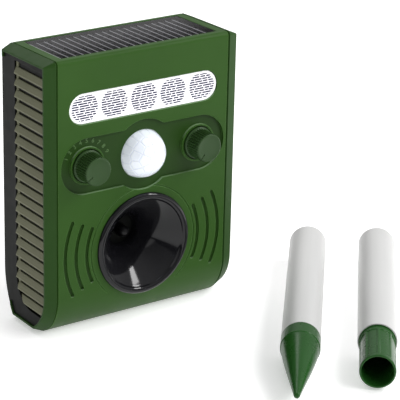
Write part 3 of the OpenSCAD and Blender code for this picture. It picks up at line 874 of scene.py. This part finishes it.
def stake_end(name, node, tube, body, outline, sharp):
    """A piece turned about a tube's axis that replaces a CAD node.

    The outline is (radius, distance out of the tube's near end, depth of the panels between ribs).
    """
    lo, hi = span(tube)
    turn = math.radians(STAKE_TURN)
    along = Vector((math.sin(turn), math.cos(turn), 0))
    across, up = Vector((along.y, -along.x, 0)), Vector((0, 0, 1))
    tube_r = (hi.z - lo.z) / 2
    length = (hi.x - lo.x - 2 * tube_r * along.y) / along.x
    near = (lo + hi) / 2 - along * length / 2
    count = PANELS * 24
    loops = []
    for r, out, depth in outline:
        loop = []
        for k in range(count):
            a = 2 * math.pi * k / count
            from_rib = abs((PANELS * k / count + 0.5) % 1 - 0.5) * 2
            cut_in = depth * min(1.0, max(0.0, (from_rib - RIB_HALF) / RIB_SLOPE))
            way = across * math.cos(a) + up * math.sin(a)
            loop.append(near - along * out + way * (r - cut_in))
        loops.append(loop)
    on_axis = outline[0][0] == 0 and outline[-1][0] == 0
    verts, faces = rings(loops, closed=not on_axis)
    piece(name, verts, faces, stake_green, body, [node], sharp)


def coupler_outline():
    """A glued seat, then a ribbed socket with a rounded mouth, and the bore back through both."""
    r, bore, end = COUPLER_R, COUPLER_BORE_R, COUPLER_L
    return [
        (bore, -SEAT_L, 0), (SEAT_R, -SEAT_L, 0), (SEAT_R, 0, 0), (r, 0, 0), (r, 3, 0),
        (r, 3.4, PANEL_CUT), (r, end - 2.4, PANEL_CUT), (r, end - 2, 0), (r, end - 0.4, 0),
        (r - 0.3, end, 0), (bore + 0.15, end, 0), (bore, end - 0.3, 0),
    ]


def spike_outline():
    """A glued seat, a collar, a slightly swollen cone and a round tip."""
    r, end = COLLAR_R, COLLAR_L + CONE_L
    seat = [(0, -SEAT_L, 0), (SEAT_R, -SEAT_L, 0), (SEAT_R, 0, 0)]
    collar = [(r - 0.15, 0, 0), (r, 0.3, 0), (r, COLLAR_L - 0.3, 0), (r - 0.3, COLLAR_L, 0)]
    cone = []
    for i in range(CONE_STEPS + 1):
        t = i / CONE_STEPS
        swell = 0.5 * math.sin(math.pi * t) * (1 - t)
        cone_r = r - 0.3 + (TIP_R - r + 0.3) * t + swell
        cone.append((cone_r, COLLAR_L + 0.4 + (CONE_L - 0.4 - TIP_R) * t, 0))
    tip = [(x, y, 0) for x, y in bow(0, end - TIP_R, TIP_R, 10, 90, 8)[:-1]]
    return seat + collar + cone + tip + [(0, end, 0)]


stake_end(
    "turned_coupler", "stake_coupler", "stake_tube_upper", "stake_upper", coupler_outline(), 35
)
stake_end("turned_spike", "stake_spike", "stake_tube_lower", "stake_lower", spike_outline(), 25)


# ---- Floor, light and camera ----


FLOOR_HALF = 6.0
FLOOR_GAP = 0.0002


def floor():
    """White paper, in metres, just under the object."""
    h = FLOOR_HALF
    mesh = bpy.data.meshes.new("floor")
    mesh.from_pydata([(-h, -h, 0), (h, -h, 0), (h, h, 0), (-h, h, 0)], [], [(0, 1, 2, 3)])
    p = Paint("floor_paper", 0.85, level=0.2)
    fibre = p.spread(p.noise(40.0, 3.0), "Fac", 0.0, 1.0)
    p.paint(p.mix(fibre, "Result", shade(WHITE, 0.87), shade(WHITE, 0.89)))
    p.glow(WHITE, 0.42)
    mesh.materials.append(p.material)
    made = bpy.data.objects.new("floor", mesh)
    bpy.context.scene.collection.objects.link(made)
    made.location.z = cad_box[0].z - FLOOR_GAP


def light(name, place, target, size, power, turn=0.0, mirrored=True):
    """A rectangular lamp aimed at a point, in metres; one that is not mirrored leaves no highlight."""
    data = bpy.data.lights.new(name, "AREA")
    data.shape = "RECTANGLE"
    data.size, data.size_y = size
    data.energy = power
    made = bpy.data.objects.new(name, data)
    made.location = place
    aim = (Vector(target) - Vector(place)).to_track_quat("-Z", "Y")
    made.rotation_euler = (aim @ Quaternion((0, 0, 1), math.radians(turn))).to_euler()
    made.visible_glossy = mirrored
    bpy.context.scene.collection.objects.link(made)


def studio():
    """White walls, dimmer on the left, with a dark strip low down behind the object."""
    world = bpy.data.worlds.new("studio")
    world.use_nodes = True
    sky = world.node_tree
    wall = sky.nodes["Background"]
    wall.inputs["Color"].default_value = (1.0, 1.0, 1.0, 1.0)
    way = sky.nodes.new("ShaderNodeTexCoord")
    axes = sky.nodes.new("ShaderNodeSeparateXYZ")
    sky.links.new(way.outputs["Generated"], axes.inputs["Vector"])

    def ramp(source, lo_in, hi_in, low=0.0, high=1.0):
        node = sky.nodes.new("ShaderNodeMapRange")
        for name, value in (("From Min", lo_in), ("From Max", hi_in), ("To Min", low), ("To Max", high)):
            node.inputs[name].default_value = value
        sky.links.new(source, node.inputs["Value"])
        return node.outputs["Result"]

    def product(a, b):
        node = sky.nodes.new("ShaderNodeMath")
        node.operation = "MULTIPLY"
        sky.links.new(a, node.inputs[0])
        sky.links.new(b, node.inputs[1])
        return node.outputs["Value"]

    x, z = axes.outputs["X"], axes.outputs["Z"]
    walls = ramp(x, -0.9, 0.2, 0.2, 0.57)
    low_band = product(ramp(z, -0.02, 0.03), ramp(z, 0.24, 0.14))
    strip = product(low_band, ramp(x, 0.7, 0.5))
    brightness = product(walls, ramp(strip, 0.0, 1.0, 1.0, 0.2))
    sky.links.new(brightness, wall.inputs["Strength"])
    bpy.context.scene.world = world
    bpy.context.scene.view_settings.view_transform = "Standard"


# The photograph's viewing angle in degrees, a long lens, and the eye in millimetres
YAW, PITCH, ROLL = 35.18, 21.42, 1.39
LENS = 181.9
EYE = (-499.1, -779.1, 418.2)


def photo_camera():
    """The camera that the main render is taken with."""
    yaw, pitch, roll = (math.radians(v) for v in (YAW, PITCH, ROLL))
    level = Vector((math.sin(yaw), math.cos(yaw), 0))
    forward = level * math.cos(pitch) - Vector((0, 0, math.sin(pitch)))
    right = Vector((math.cos(yaw), -math.sin(yaw), 0))
    up = right.cross(forward)
    across = right * math.cos(roll) + up * math.sin(roll)
    upward = up * math.cos(roll) - right * math.sin(roll)
    camera = bpy.data.objects.new("camera", bpy.data.cameras.new("camera"))
    camera.data.lens = LENS
    camera.data.sensor_width = 36.0
    camera.data.clip_start = 0.05
    camera.data.clip_end = 20.0
    turn = Matrix((across, upward, -forward)).transposed().to_4x4()
    camera.matrix_world = Matrix.Translation(Vector(EYE) * MM) @ turn
    bpy.context.scene.collection.objects.link(camera)
    bpy.context.scene.camera = camera


AIM = (0.0, 0.0, 0.07)
floor()
light("key", (0.45, -0.95, 0.9), AIM, (0.7, 0.6), 6.0, mirrored=False)
light("streak", (0.69, -0.334, 0.7), (0.0, -0.024, 0.04), (0.22, 0.5), 4.5, turn=-60.0)
light("left_fill", (-0.95, -0.35, 0.55), AIM, (0.3, 0.9), 0.6)
light("back_top", (0.1, 0.75, 0.95), AIM, (0.9, 0.5), 4.0)
studio()
photo_camera()
